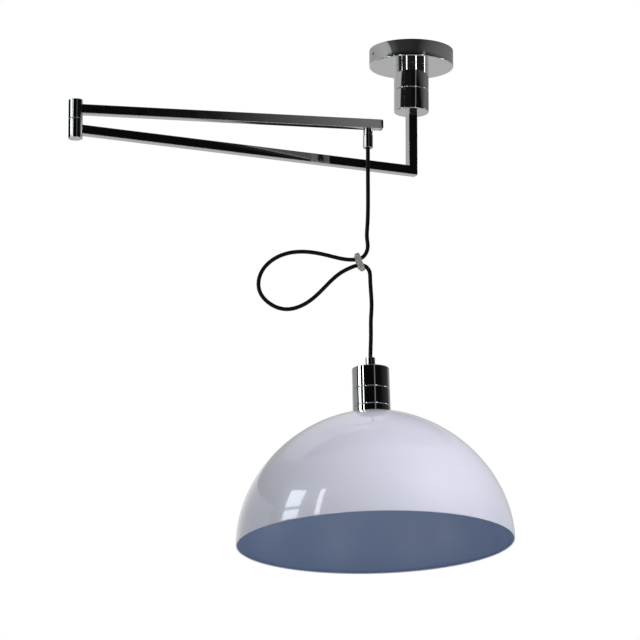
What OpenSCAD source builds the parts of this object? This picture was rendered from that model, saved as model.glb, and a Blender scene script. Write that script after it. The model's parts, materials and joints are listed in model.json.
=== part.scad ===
// Ceiling swing-arm pendant lamp.
// Millimetres, +Z up. The origin is the centre of the ceiling face, and the lower arm points along -X.

/* [Canopy] */
// Outer diameter of the canopy
canopy_d = 127; // [115:1:160]
// Height of the canopy
canopy_h = 26; // [24:1:34]
// Wall of the canopy
canopy_wall = 1.2; // [0.8:0.1:2]
// Radius of the canopy's lower edge
canopy_edge_r = 1.6; // [0.5:0.1:3]
// Thickness of the mounting plate
plate_t = 3; // [2:0.5:4]
// Distance between the two ceiling screws
screw_spacing = 76; // [72:1:90]
// Diameter of the ceiling screw holes
screw_hole_d = 5.5; // [4:0.5:6.5]
// Diameter of the supply cable's hole in the plate
supply_hole_d = 14; // [10:1:16]
// Depth of the canopy's grub screws below the ceiling
grub_depth = 12; // [10:1:14]

/* [Neck and swivel] */
// Diameter of both neck covers
neck_d = 52.5; // [48:0.5:60]
// Wall of the neck covers
neck_wall = 2; // [1.2:0.2:3]
// Height of the upper, fixed neck cover
neck_upper_h = 38; // [32:1:50]
// Height of the lower, turning neck cover
neck_lower_h = 33; // [28:1:45]
// Diameter of the bearing housing
housing_d = 38; // [34:1:40]
// Diameter of the hollow spindle
spindle_d = 18; // [16:0.5:20]
// Bore of the hollow spindle, for the cable
spindle_bore = 10; // [8:0.5:11]

/* [Arms] */
// Side of the square tube
arm_size = 14; // [12:0.5:16]
// Wall of the square tube
arm_wall = 1.5; // [1:0.1:2]
// Radius of the square tube's corners
arm_corner_r = 1; // [0.4:0.1:1.5]
// Drop from the neck to the lower arm's centreline
arm_drop = 92; // [70:1:140]
// Lower arm, from the post's axis to the elbow's axis
lower_arm_len = 546; // [400:1:700]
// Upper arm, from the elbow's axis to its end
upper_arm_len = 462; // [340:1:500]
// Height of the gap between the two arms
arm_gap = 17; // [14:1:30]
// Angle between the arms as stored
fold_angle = 13.6; // [6:0.1:60]
// Length of the end cap
end_cap_len = 3.6; // [2:0.2:6]

/* [Elbow] */
// Diameter of the elbow
elbow_d = 21.4; // [19.5:0.1:26]
// Height of the elbow above the upper arm and below the lower arm
elbow_margin = 7.2; // [6:0.2:12]
// Diameter of the elbow's pin
elbow_pin_d = 12; // [10:0.5:13]
// Bore of the elbow's pin, for the cable
elbow_pin_bore = 7; // [6:0.5:8]

/* [Gland] */
// Distance from the gland's axis to the upper arm's end
gland_inset = 22.5; // [14:0.5:40]
// Diameter of the gland's fixed collar
collar_d = 14; // [12:0.2:16]
// Height of the gland's fixed collar
collar_h = 9.4; // [6:0.2:14]
// Diameter of the gland's turning sleeve
sleeve_d = 14.8; // [14:0.2:18]
// Height of the gland's turning sleeve
sleeve_h = 20; // [18:0.5:30]
// Diameter of the hollow nipple that carries the sleeve
nipple_d = 10; // [9:0.2:10.4]
// Radius of the ball that grips the cord
ball_r = 5; // [4.6:0.1:5.2]

/* [Cord and clip] */
// Diameter of the cord
cord_d = 6; // [5:0.1:6.2]
// Diameter of the cable inside the arms
cable_d = 4.6; // [3:0.2:5]
// Length of the clip
clip_len = 29; // [26:0.5:36]
// Depth of the clip, across the cord
clip_depth = 11.4; // [10.5:0.2:16]
// Thickness of the clip, along the cord
clip_t = 7.5; // [5:0.5:10]
// Lean of the clip
clip_lean = 20; // [0:1:25]
// Diameter of the clip's eyes
eye_d = 8.8; // [7.4:0.1:9]

/* [Cup] */
// Drop from the gland's mouth to the top of the cup
cup_drop = 339; // [338:1:342]
// Lean of the cup and shade, as they hang
hang_lean = 1.5; // [0:0.1:3]
// Diameter of the cup's cap
cup_d = 55.4; // [52:0.2:64]
// Step in diameter from each ring of the cup to the next
cup_step = 0.4; // [0:0.1:1]
// Wall of the cup's rings
cup_wall = 1.6; // [1:0.1:2.4]
// Height of the cup's cap
cap_h = 32.6; // [28:0.2:40]
// Height of the cup's middle ring
ring_h = 26.1; // [20:0.1:32]
// Height of the ring that seats on the shade
shade_ring_h = 9.5; // [7:0.1:14]
// Diameter of the small ferrule on the cup
ferrule_d = 14.5; // [12:0.1:18]
// Height of the small ferrule
ferrule_h = 16.3; // [12:0.1:22]

/* [Shade] */
// Diameter of the shade's rim
shade_d = 410; // [330:1:500]
// Height of the dome from its rim to its full crown
shade_h = 197; // [160:1:240]
// Wall of the shade
shade_wall = 0.8; // [0.6:0.1:2]
// Fullness of the dome's curve, where 2 is an ellipse
shade_power = 1.9; // [1.7:0.05:2.4]
// Diameter of the flat seat on the crown
seat_d = 51.2; // [48:0.2:56]

/* [Lampholder and bulb] */
// Diameter of the lampholder
holder_d = 40; // [38:0.5:42]
// Height of the lampholder
holder_h = 52; // [48:0.5:60]
// Diameter of the bulb's glass
bulb_d = 60; // [45:1:80]
// Length of the bulb's glass below its base
bulb_len = 80; // [74:1:90]

/* [Hidden] */
$fn = 96;

// Gap left between two pieces that only pass or sit by each other
clear = 0.3;
// Radial gap of a shaft that runs in its bore
running = 0.05;
// Radial gap of a piece that is fixed in its seat
seat = 0.02;
// Length added to a cut so that it runs past the faces
past = 1;

// Heights of the fixed mount, all below the ceiling at zero
canopy_r_in = canopy_d / 2 - canopy_wall;
neck_top = -canopy_h;
neck_seam = neck_top - neck_upper_h;
neck_low_top = neck_seam - clear;
neck_bottom = neck_low_top - neck_lower_h;
flange_t = 4;
flange_d = housing_d + 24;
flange_bottom = -plate_t - flange_t;
housing_bottom = neck_seam + 3.5;
chamber_d = 28;
chamber_bottom = -24;
washer_t = 1.5;
nut_t = 5;
nut_af = 23.5;
neck_plate_t = 4;

// The spindle's own parts
spindle_top = chamber_bottom + washer_t + nut_t + 1.5;
spindle_flange_t = 4;
spindle_flange_d = 32;
spindle_bottom = neck_bottom + neck_plate_t;
stop_pin_d = 4;
stop_r = (housing_d + spindle_d) / 4;
stop_top = housing_bottom - 3.4;
stop_t = 6;

// Heights of the arms
lower_z = neck_bottom - arm_drop;
upper_z = lower_z + arm_size + arm_gap;
elbow_top = upper_z + arm_size / 2 + elbow_margin;
elbow_bottom = lower_z - arm_size / 2 - elbow_margin;
elbow_mid = (elbow_top + elbow_bottom) / 2;
elbow_seam = 0.5;
elbow_chamber_d = elbow_d - 6;
elbow_cap_d = elbow_d - 4;
elbow_cap_t = 2.5;
wire_hole_d = 8;
bearing_top = upper_z - 5.7;
pin_top = bearing_top + 2;
pin_bottom = lower_z + 6.3;
elbow_ring_z = bearing_top + running;
elbow_washer_z = elbow_mid - elbow_seam / 2;

// The gland
gland_x = upper_arm_len - gland_inset;
arm_floor = upper_z - arm_size / 2;
sleeve_top = arm_floor - collar_h - clear;
mouth_z = sleeve_top - sleeve_h;
pivot_rise = 2.5;
ball_half_h = 2.2;
sleeve_neck_h = 4.6;
sleeve_chamber_r = ball_r + 1;
snap_top = sleeve_top - sleeve_neck_h - running;
snap_t = 1.4;
snap_groove_d = nipple_d - 1;
nipple_bottom = snap_top - snap_t - 1;

// The hanging plane of the cord turns this far from the X axis, clockwise from above
hang_turn = 24;
// Route of the cord in that plane: [across, up] from the centre of the gland's mouth
route = [
    [0, 11.5], [0, -20], [0, -55], [0, -90], [-1, -120], [-1.5, -140], [-0.5, -152], [-3, -162], [-9, -169],
    [-19, -172], [-40, -170.5], [-62, -165], [-92, -160], [-122, -163], [-146, -176], [-160, -196],
    [-161, -219], [-146, -239], [-122, -248], [-92, -239], [-62, -212], [-40, -192], [-26, -184.5],
    [-16, -181], [-6, -181.5], [1, -188], [3, -200], [4, -220], [5, -245], [4, -265], [4, -285],
    [3.5, -307], [3, -327]
];
// The clip's eyes sit halfway along the legs of the route that start at these points
upper_leg = 8;
lower_leg = 23;
cord_sides = 10;
cup_across = 3.2;

// Heights in the cup's own frame, from the top of its cap
ring_top = -cap_h - clear;
ring_bottom = ring_top - ring_h;
shade_ring_top = ring_bottom - clear;
shade_ring_bottom = shade_ring_top - shade_ring_h;
dome_k = 2 / shade_power;
seat_angle = acos(pow(seat_d / shade_d, 1 / dome_k));
seat_drop = shade_h * (1 - pow(sin(seat_angle), dome_k));
rim_z = shade_ring_bottom + seat_drop - shade_h;
retainer_d = seat_d - 1.2;
cap_roof_t = 2;
holder_top = shade_ring_bottom + 28.8;
holder_bottom = holder_top - holder_h;
holder_bore = 28;
base_d = 26;
holder_floor = holder_top - 18;
seat_plate_t = 3;
stem_d = 10;
stem_bore = 6.8;
stem_bite = 6;
shell_d = holder_bore - 2 * seat;
shell_bore = base_d + 0.4;
base_top = holder_floor - 4;
base_bottom = base_top - 25;

chrome = [0.72, 0.72, 0.73];
steel = [0.6, 0.61, 0.62];
zinc = [0.58, 0.58, 0.56];
black = [0.05, 0.05, 0.05];
brass = [0.8, 0.65, 0.32];
white = [0.88, 0.88, 0.92];

// ---- shapes that repeat ----

// Solid disc between two heights
module disc(d, top, bottom) {
    translate([0, 0, bottom]) cylinder(d = d, h = top - bottom);
}

// Ring with a bore right through, between two heights
module ring(d, bore, top, bottom) {
    difference() {
        disc(d, top, bottom);
        disc(bore, top + past, bottom - past);
    }
}

// Hexagonal nut with a bore, between two heights
module nut(across_flats, bore, top, bottom) {
    difference() {
        translate([0, 0, bottom]) cylinder(d = across_flats / cos(30), h = top - bottom, $fn = 6);
        disc(bore, top + past, bottom - past);
    }
}

// Places its children at a radius, round the Z axis at the given angles
module around(radius, angles) {
    for (a = angles) rotate([0, 0, a]) translate([radius, 0, 0]) children();
}

// Square outline with true round corners
module soft_square(side, r) {
    square([side - 2 * r, side], center = true);
    square([side, side - 2 * r], center = true);
    for (x = [-1, 1], y = [-1, 1]) translate([x, y] * (side / 2 - r)) circle(r = r);
}

// Square tube along +X, from its start, centred on the axis
module square_tube(len) {
    rotate([90, 0, 90]) linear_extrude(len) difference() {
        soft_square(arm_size, arm_corner_r);
        square(arm_size - 2 * arm_wall, center = true);
    }
}

// Middle point of the leg from b to c of a smooth line through a, b, c, d
function leg_middle(a, b, c, d) = (9 * (b + c) - a - d) / 16;

// The points of a smooth line, with a middle point added on each leg
function finer(p) = [
    for (i = [0 : len(p) - 1], half = [0, 1])
        if (half == 0) p[i]
        else if (i < len(p) - 1)
            leg_middle(p[max(i - 1, 0)], p[i], p[i + 1], p[min(i + 2, len(p) - 1)])
];

// Direction of a line at point i
function heading(p, i) = let (v = p[min(i + 1, len(p) - 1)] - p[max(i - 1, 0)]) v / norm(v);

// Round bar of diameter d along points first to last of a line in the XZ plane
module bar_along(p, d, sides, first, last) {
    count = last - first + 1;
    points = [
        for (i = [first : last], k = [0 : sides - 1])
            let (t = heading(p, i), a = 360 * (k + 0.5) / sides, out = d / 2 * cos(a))
                [p[i][0] - t[1] * out, d / 2 * sin(a), p[i][1] + t[0] * out]
    ];
    walls = [
        for (i = [0 : count - 2], k = [0 : sides - 1])
            let (here = i * sides, next = (k + 1) % sides)
                [here + k, here + next, here + sides + next, here + sides + k]
    ];
    start = [[for (k = [sides - 1 : -1 : 0]) k]];
    end = [[for (k = [0 : sides - 1]) (count - 1) * sides + k]];
    polyhedron(points, concat(start, walls, end));
}

// ---- places ----

module at_elbow() {
    translate([-lower_arm_len, 0, 0]) children();
}

module on_upper_arm() {
    at_elbow() rotate([0, 0, -fold_angle]) children();
}

module at_gland() {
    on_upper_arm() translate([gland_x, 0, 0]) children();
}

// The frame of the cord's route: X across, Z up, from the centre of the gland's mouth
module hanging() {
    at_gland() translate([0, 0, mouth_z]) rotate([0, 0, fold_angle - hang_turn]) children();
}

// The frame of the cup: its Z axis leans as the shade hangs
module on_cup() {
    hanging() translate([cup_across, 0, -cup_drop]) rotate([0, -hang_lean, 0]) children();
}

// ---- fixed mount ----

housing_screw_angles = [45, 135, 225, 315];
housing_screw_r = (housing_d + flange_d) / 4;
housing_screw_d = 4;
lug_t = 2.4;
lug_w = 12;
grub_d = 4;
earth_at = [30, 36];
supply_at = [0, 43];

module mounting_plate() {
    color(steel) difference() {
        union() {
            disc(2 * (canopy_r_in - 1), 0, -plate_t);
            for (side = [0, 180]) rotate([0, 0, side])
                translate([canopy_r_in - 1 - lug_t, -lug_w / 2, -grub_depth - 5])
                    cube([lug_t, lug_w, grub_depth + 5 - plate_t / 2]);
        }
        around(screw_spacing / 2, [0, 180]) disc(screw_hole_d, past, -plate_t - past);
        translate(supply_at) disc(supply_hole_d, past, -plate_t - past);
        translate(earth_at) disc(4 + 2 * seat, past, -plate_t - past);
        around(housing_screw_r, housing_screw_angles)
            disc(housing_screw_d + 2 * seat, past, -plate_t - past);
        translate([0, 0, -grub_depth]) rotate([0, 90, 0])
            cylinder(d = grub_d + 2 * seat, h = canopy_d, center = true);
        difference() {
            disc(canopy_d, -plate_t - past / 2, -canopy_h);
            disc(2 * (canopy_r_in - 1), 0, -canopy_h - past);
        }
    }
}

module bearing_housing() {
    color(steel) difference() {
        union() {
            disc(flange_d, -plate_t, flange_bottom);
            disc(housing_d, flange_bottom + past, housing_bottom);
        }
        disc(chamber_d, 0, chamber_bottom);
        disc(spindle_d + 2 * running, 0, housing_bottom - past);
        around(housing_screw_r, housing_screw_angles)
            disc(housing_screw_d + 2 * seat, 0, flange_bottom - past);
        around(stop_r, [0]) disc(stop_pin_d + 2 * seat, housing_bottom + 6, housing_bottom - past);
        translate([0, 0, -grub_depth]) rotate([90, 0, 0]) cylinder(d = wire_hole_d, h = housing_d);
    }
}

module housing_screws() {
    head_h = 2.6;
    color(steel) around(housing_screw_r, housing_screw_angles) difference() {
        union() {
            disc(7, flange_bottom, flange_bottom - head_h);
            disc(housing_screw_d, -past / 2, flange_bottom - past);
        }
        translate([-3, -0.5, flange_bottom - head_h - past]) cube([6, 1, past + 1]);
    }
}

// Cup with a rounded lower edge, open at the ceiling
module canopy() {
    r = canopy_d / 2;
    e = canopy_edge_r;
    steps = 8;
    edge = [for (k = [0 : steps]) let (a = 90 * k / steps) [r - e + e * cos(a), -canopy_h + e - e * sin(a)]];
    color(chrome) difference() {
        rotate_extrude() polygon(concat(
            [[canopy_r_in, 0], [r, 0]], edge,
            [[housing_d / 2 + clear, -canopy_h], [housing_d / 2 + clear, -canopy_h + canopy_wall],
             [canopy_r_in, -canopy_h + canopy_wall]]));
        translate([0, 0, -grub_depth]) rotate([0, 90, 0])
            cylinder(d = grub_d + 0.2, h = 2 * canopy_d, center = true);
    }
}

// Two grub screws with a hexagonal socket, one each side
module canopy_screws() {
    color(steel) for (side = [0, 180]) rotate([0, 0, side])
        translate([canopy_r_in - 1 - lug_t, 0, -grub_depth]) rotate([0, 90, 0]) difference() {
            cylinder(d = grub_d, h = lug_t + canopy_wall + 1.8);
            translate([0, 0, lug_t + canopy_wall]) cylinder(d = 2.3, h = 3, $fn = 6);
        }
}

// Fixed cover: a sleeve with a plate at each end, both bored for the housing
module neck_upper() {
    r = neck_d / 2;
    bore = housing_d / 2 + seat;
    inner = r - neck_wall;
    lip = 3;
    color(chrome) rotate_extrude() polygon([
        [bore, neck_top], [r, neck_top], [r, neck_seam], [bore, neck_seam], [bore, neck_seam + lip],
        [inner, neck_seam + lip], [inner, neck_top - lip], [bore, neck_top - lip]
    ]);
}

module stop_pin() {
    color(steel) around(stop_r, [0]) disc(stop_pin_d, housing_bottom + 5.5, stop_top - stop_t + 0.5);
}

module thrust_washer() {
    color(brass) ring(chamber_d - 1, spindle_d + 0.4, chamber_bottom + washer_t, chamber_bottom);
}

// Three-way block that hangs under the plate, with a screw over each way
module terminal_block() {
    block = [34, 14, 13];
    place = [-block[0] / 2, -canopy_r_in + 10, -plate_t - block[2]];
    color(white) difference() {
        translate(place) cube(block);
        for (way = [-1 : 1]) translate([way * 10.5, place[1] + block[1] / 2, 0]) {
            disc(3.4, -plate_t - block[2] + 5, -plate_t - block[2] - past);
            translate([0, 0, -grub_depth]) rotate([90, 0, 0])
                cylinder(d = cable_d + 0.4, h = block[1] + past, center = true);
        }
    }
}

module earth_screw() {
    color(brass) translate(earth_at) {
        disc(8, -plate_t, -plate_t - 3);
        disc(4, -past / 2, -plate_t - past);
    }
}

// ---- cables held inside ----

// From the terminal block into the spindle's bore
mains_line = [
    [-canopy_r_in + 20, -grub_depth], [-15, -grub_depth], [-7, -grub_depth - 0.2], [-3, -grub_depth - 1.4],
    [-0.8, -grub_depth - 4.8], [0, -grub_depth - 10]
];
corner_r = 7;

module cable_mains() {
    color(black) rotate([0, 0, 90]) bar_along(mains_line, cable_d, 8, 0, len(mains_line) - 1);
}

// Quarter turn between two straight legs: centre, radius, and the first and last angle
function quarter(c, r, from, to) = [
    for (k = [0 : 4]) let (a = from + (to - from) * k / 4) c + r * [cos(a), sin(a)]
];

module cable_lower() {
    line = concat(
        [[0, -23]], quarter([-corner_r, lower_z + corner_r], corner_r, 0, -90),
        quarter([corner_r - lower_arm_len, lower_z + corner_r], corner_r, -90, -180),
        [[-lower_arm_len, pin_top - 6]]);
    color(black) bar_along(line, cable_d, 8, 0, len(line) - 1);
}

module cable_upper() {
    r = 5.2;
    line = concat(
        [[0, pin_top - 5.5]], quarter([r, upper_z - r], r, 180, 90),
        quarter([gland_x - r, upper_z - r], r, 90, 0), [[gland_x, nipple_bottom]]);
    color(black) on_upper_arm() bar_along(line, cable_d, 8, 0, len(line) - 1);
}

// ---- lower arm ----

module spindle() {
    color(steel) difference() {
        union() {
            disc(spindle_d, spindle_top, spindle_bottom + past);
            disc(spindle_flange_d, spindle_bottom + spindle_flange_t, spindle_bottom);
        }
        disc(spindle_bore, spindle_top + past, spindle_bottom - past);
        around(12.5, [90, 270]) disc(3.2, spindle_bottom + spindle_flange_t + past, spindle_bottom - past);
    }
}

module lock_nut() {
    top = chamber_bottom + washer_t + nut_t;
    color(steel) nut(nut_af, spindle_d + 2 * seat, top, chamber_bottom + washer_t + running);
}

// Collar with a lug that meets the stop pin at each end of the swing
module stop_collar() {
    lug_half = 2.5;
    collar_r = stop_r - stop_pin_d / 2 - clear;
    color(steel) difference() {
        union() {
            disc(2 * collar_r, stop_top, stop_top - stop_t);
            translate([-stop_r - 3, -lug_half, stop_top - stop_t]) cube([stop_r + 3, 2 * lug_half, stop_t]);
        }
        disc(spindle_d + 2 * seat, stop_top + past, stop_top - stop_t - past);
    }
}

// Turning cover: a cup, open at the top, whose floor lets the square post through
module neck_lower() {
    color(chrome) difference() {
        disc(neck_d, neck_low_top, neck_bottom);
        disc(neck_d - 2 * neck_wall, neck_low_top + past, spindle_bottom);
        translate([0, 0, neck_bottom - past]) linear_extrude(neck_plate_t + 2 * past)
            square(arm_size + 0.2, center = true);
        around(12.5, [90, 270]) disc(3, spindle_bottom + past, neck_bottom + 0.8);
    }
}

module neck_screws() {
    top = spindle_bottom + spindle_flange_t;
    color(steel) around(12.5, [90, 270]) {
        disc(5.4, top + 2.2, top);
        disc(2.9, top + past, neck_bottom + 1);
    }
}

// Half of a mitre: keeps what is above (side 1) or beyond (side -1) the 45 degree plane of the corner
module mitre_side(side) {
    reach = 3 * (lower_arm_len + arm_drop);
    translate([0, 0, lower_z]) rotate([0, 45, 0])
        translate([-reach / 2, -reach / 2, side > 0 ? 0 : -reach]) cube(reach);
}

module post_tube() {
    color(chrome) intersection() {
        translate([0, 0, spindle_bottom]) rotate([0, 90, 0])
            square_tube(spindle_bottom - lower_z + arm_size);
        mitre_side(1);
    }
}

module lower_arm_tube() {
    color(chrome) difference() {
        intersection() {
            translate([-lower_arm_len, 0, lower_z]) square_tube(lower_arm_len + arm_size);
            mitre_side(-1);
        }
        at_elbow() disc(elbow_d, elbow_top, elbow_bottom - past);
    }
}

// ---- elbow ----

module elbow_lower() {
    top = elbow_mid - elbow_seam / 2;
    color(chrome) at_elbow() difference() {
        disc(elbow_d, top, elbow_bottom);
        disc(elbow_pin_d + 2 * seat, top + past, pin_bottom - past / 2);
        disc(elbow_chamber_d, pin_bottom, elbow_bottom + elbow_cap_t - past / 2);
        disc(elbow_cap_d + 2 * seat, elbow_bottom + elbow_cap_t, elbow_bottom - past);
        translate([0, 0, lower_z]) rotate([0, 90, 0]) cylinder(d = wire_hole_d, h = elbow_d);
    }
}

module elbow_base_cap() {
    color(chrome) at_elbow() disc(elbow_cap_d, elbow_bottom + elbow_cap_t, elbow_bottom);
}

module elbow_pin() {
    color(steel) at_elbow() ring(elbow_pin_d, elbow_pin_bore, pin_top, pin_bottom);
}

module elbow_ring() {
    color(steel) at_elbow()
        ring(elbow_chamber_d - 0.6, elbow_pin_d + 2 * seat, elbow_ring_z + 1.2, elbow_ring_z);
}

module elbow_washer() {
    color(black) at_elbow()
        ring(elbow_d - 1.4, elbow_pin_d + 0.4, elbow_washer_z + elbow_seam - running, elbow_washer_z);
}

module elbow_upper() {
    bottom = elbow_mid + elbow_seam / 2;
    color(chrome) on_upper_arm() difference() {
        disc(elbow_d, elbow_top, bottom);
        disc(elbow_pin_d + 2 * running, elbow_top, bottom - past);
        disc(elbow_chamber_d, elbow_top, bearing_top);
        disc(elbow_cap_d + 2 * seat, elbow_top + past, elbow_top - elbow_cap_t);
        translate([0, 0, upper_z]) rotate([0, 90, 0]) cylinder(d = wire_hole_d, h = elbow_d);
    }
}

module elbow_top_cap() {
    color(chrome) on_upper_arm() disc(elbow_cap_d, elbow_top, elbow_top - elbow_cap_t);
}

// ---- upper arm and gland ----

module upper_arm_tube() {
    color(chrome) on_upper_arm() difference() {
        translate([0, 0, upper_z]) square_tube(upper_arm_len - end_cap_len);
        disc(elbow_d, elbow_top, elbow_bottom);
        translate([gland_x, 0, 0]) disc(nipple_d + 2 * seat, upper_z, arm_floor - past);
    }
}

// Cap with a spigot that plugs the tube
module arm_end_cap() {
    spigot = 6;
    color(chrome) on_upper_arm() translate([upper_arm_len - end_cap_len, 0, upper_z]) {
        rotate([90, 0, 90]) linear_extrude(end_cap_len) soft_square(arm_size, arm_corner_r);
        translate([-spigot, 0, 0]) rotate([90, 0, 90]) linear_extrude(spigot + past)
            square(arm_size - 2 * arm_wall - 0.2, center = true);
    }
}

module gland_nipple() {
    top = arm_floor + arm_wall;
    color(steel) at_gland() difference() {
        union() {
            disc(nipple_d, top + past, nipple_bottom);
            disc(nipple_d + 0.8, top + 2, top);
        }
        disc(6.8, top + 3, nipple_bottom - past);
        ring(nipple_d + 2, snap_groove_d, snap_top, snap_top - snap_t);
    }
}

module gland_collar() {
    color(chrome) at_gland() ring(collar_d, nipple_d + 2 * seat, arm_floor, arm_floor - collar_h);
}

module gland_ring() {
    color(steel) at_gland()
        ring(2 * (sleeve_chamber_r - clear), snap_groove_d + 2 * seat, snap_top, snap_top - snap_t);
}

// Turning sleeve: a bearing at the top, a chamber, and a round seat for the ball at the mouth
module gland_sleeve() {
    color(chrome) at_gland() difference() {
        disc(sleeve_d, sleeve_top, mouth_z);
        disc(nipple_d + 2 * running, sleeve_top + past, mouth_z + sleeve_h / 2);
        disc(2 * sleeve_chamber_r, sleeve_top - sleeve_neck_h, mouth_z + pivot_rise);
        translate([0, 0, mouth_z + pivot_rise]) sphere(r = ball_r + clear);
    }
}

// Ball with its top and bottom cut flat and a bore for the cord
module cord_grip() {
    color(black) hanging() translate([0, 0, pivot_rise]) difference() {
        intersection() {
            sphere(r = ball_r);
            disc(4 * ball_r, ball_half_h, -ball_half_h);
        }
        disc(cord_d + 1.4, ball_r, -ball_r);
    }
}

// ---- cord and clip ----

line = finer(route);

module cord_upper() {
    color(black) hanging() bar_along(line, cord_d, cord_sides, 0, 2 * upper_leg + 1);
}

module cord_loop() {
    color(black) hanging() bar_along(line, cord_d, cord_sides, 2 * upper_leg + 1, 2 * lower_leg + 1);
}

module cord_lower() {
    color(black) hanging() bar_along(line, cord_d, cord_sides, 2 * lower_leg + 1, len(line) - 1);
}

// Leaning link with two level eyes, one over the other
module cord_clip() {
    eyes = [line[2 * upper_leg + 1], line[2 * lower_leg + 1]];
    middle = (eyes[0] + eyes[1]) / 2;
    straight = clip_len - clip_depth;
    color(zinc) hanging() difference() {
        translate([middle[0], 0, middle[1]]) rotate([0, -clip_lean, 0]) union() {
            cube([clip_t, clip_depth, straight], center = true);
            for (end = [-1, 1]) translate([0, 0, end * straight / 2]) rotate([0, 90, 0])
                cylinder(d = clip_depth, h = clip_t, center = true);
        }
        for (e = eyes) translate([e[0], 0, e[1]]) rotate([0, 90, 0])
            cylinder(d = eye_d, h = 3 * clip_t, center = true);
    }
}

// ---- cup ----

module cup_ferrule() {
    color(chrome) on_cup() difference() {
        disc(ferrule_d, ferrule_h, 0);
        disc(cord_d + 1.6, ferrule_h + past, ferrule_h - 6);
        disc(stem_bore, ferrule_h, -past);
        translate([0, 0, ferrule_h / 2]) rotate([-90, 0, 0]) cylinder(d = 3 + 2 * seat, h = ferrule_d);
    }
}

// Grub screw in the ferrule's side that holds the cord
module ferrule_screw() {
    color(steel) on_cup() translate([0, 0, ferrule_h / 2]) rotate([-90, 0, 0]) difference() {
        translate([0, 0, stem_bore / 2 + 0.4]) cylinder(d = 3, h = (ferrule_d - stem_bore) / 2 - 0.2);
        translate([0, 0, ferrule_d / 2 - 1]) cylinder(d = 1.7, h = 3, $fn = 6);
    }
}

// Cap: a roof with a rounded edge over an open sleeve
module cup_cap() {
    r = cup_d / 2;
    e = 1.4;
    steps = 6;
    edge = [for (k = [0 : steps]) let (a = 90 * k / steps) [r - e + e * sin(a), -e + e * cos(a)]];
    hole = stem_d / 2 + seat;
    color(chrome) on_cup() rotate_extrude() polygon(concat(
        [[hole, 0]], edge,
        [[r, -cap_h], [r - cup_wall, -cap_h], [r - cup_wall, -cap_roof_t], [hole, -cap_roof_t]]));
}

// Hollow threaded stem from the ferrule to the lampholder
module cup_stem() {
    color(steel) on_cup() ring(stem_d, stem_bore, 0, holder_top - stem_bite);
}

module stem_nut() {
    color(steel) on_cup() nut(17, stem_d + 2 * seat, -cap_roof_t, -cap_roof_t - 5);
}

// The cord's end inside the stem, down to the lampholder
module cord_tail() {
    color(black) on_cup() disc(cord_d, ferrule_h - 6.5, holder_top - stem_bite - 3);
}

// Middle ring, with a register at each end that enters the cap and the shade ring
module cup_ring() {
    d = cup_d + cup_step;
    cap_bore = cup_d - 2 * cup_wall;
    low_bore = cup_d + 2 * cup_step - 2 * cup_wall;
    reach = 3;
    web = 1.2;
    color(chrome) on_cup() {
        ring(d, d - 2 * cup_wall, ring_top, ring_bottom);
        ring(d - cup_wall, cap_bore - 2 * web, ring_top, ring_top - reach);
        ring(cap_bore - 2 * seat, cap_bore - 2 * web, ring_top + clear + reach, ring_top - past);
        ring(low_bore - 2 * seat, low_bore - 2 * web, ring_bottom + reach, ring_bottom - clear - reach);
    }
}

module shade_ring() {
    d = cup_d + 2 * cup_step;
    color(chrome) on_cup() difference() {
        disc(d, shade_ring_top, shade_ring_bottom);
        disc(d - 2 * cup_wall, shade_ring_top + past, shade_ring_bottom + seat_plate_t);
        disc(holder_d + 0.8, shade_ring_top, shade_ring_bottom - past);
    }
}

// ---- shade, lampholder and bulb ----

// Quarter of the dome's curve, rim first, up to a flat seat below the crown
function dome(r, h, drop) = let (last = asin(pow((h - drop) / h, 1 / dome_k)), steps = 36) [
    for (i = [0 : steps]) let (a = last * i / steps) [r * pow(cos(a), dome_k), h * pow(sin(a), dome_k)]
];

module shade() {
    r = shade_d / 2;
    outer = dome(r, shade_h, seat_drop);
    inner = dome(r - shade_wall, shade_h - shade_wall, seat_drop);
    bore = holder_d / 2 + 0.4;
    top = shade_h - seat_drop;
    color(white) on_cup() translate([0, 0, rim_z]) rotate_extrude($fn = 180) polygon(concat(
        outer, [[bore, top], [bore, top - shade_wall]], [for (i = [len(inner) - 1 : -1 : 0]) inner[i]]));
}

module retaining_ring() {
    top = shade_ring_bottom - shade_wall;
    color(black) on_cup() difference() {
        union() {
            disc(retainer_d, top, top - 3);
            disc(holder_d + 6, top, top - 9);
        }
        disc(holder_d + 2 * seat, top + past, top - 9 - past);
    }
}

module lampholder_body() {
    shoulder = 20;
    color(black) on_cup() difference() {
        union() {
            disc(holder_d - 6, holder_top, holder_top - shoulder);
            disc(holder_d, holder_top - 8, holder_bottom);
            disc(holder_d + 8, shade_ring_bottom + seat_plate_t + 3, shade_ring_bottom + seat_plate_t);
        }
        disc(stem_d + 2 * seat, holder_top + past, holder_top - stem_bite);
        disc(stem_bore, holder_top, holder_top - stem_bite - 3);
        disc(holder_bore, holder_floor, holder_bottom - past);
    }
}

module thread_shell() {
    color(brass) on_cup() ring(shell_d, shell_bore, holder_floor - 2, holder_bottom + 1);
}

module centre_contact() {
    color(brass) on_cup() disc(9, holder_floor, holder_floor - 1.5);
}

module bulb_base() {
    insulator = 5;
    color(steel) on_cup() {
        rotate_extrude() polygon([
            [0, base_top + 2.5], [5, base_top + 2.5], [5, base_top], [base_d / 2 - 2, base_top],
            [base_d / 2, base_top - insulator], [base_d / 2, base_bottom], [0, base_bottom]
        ]);
    }
}

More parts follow.
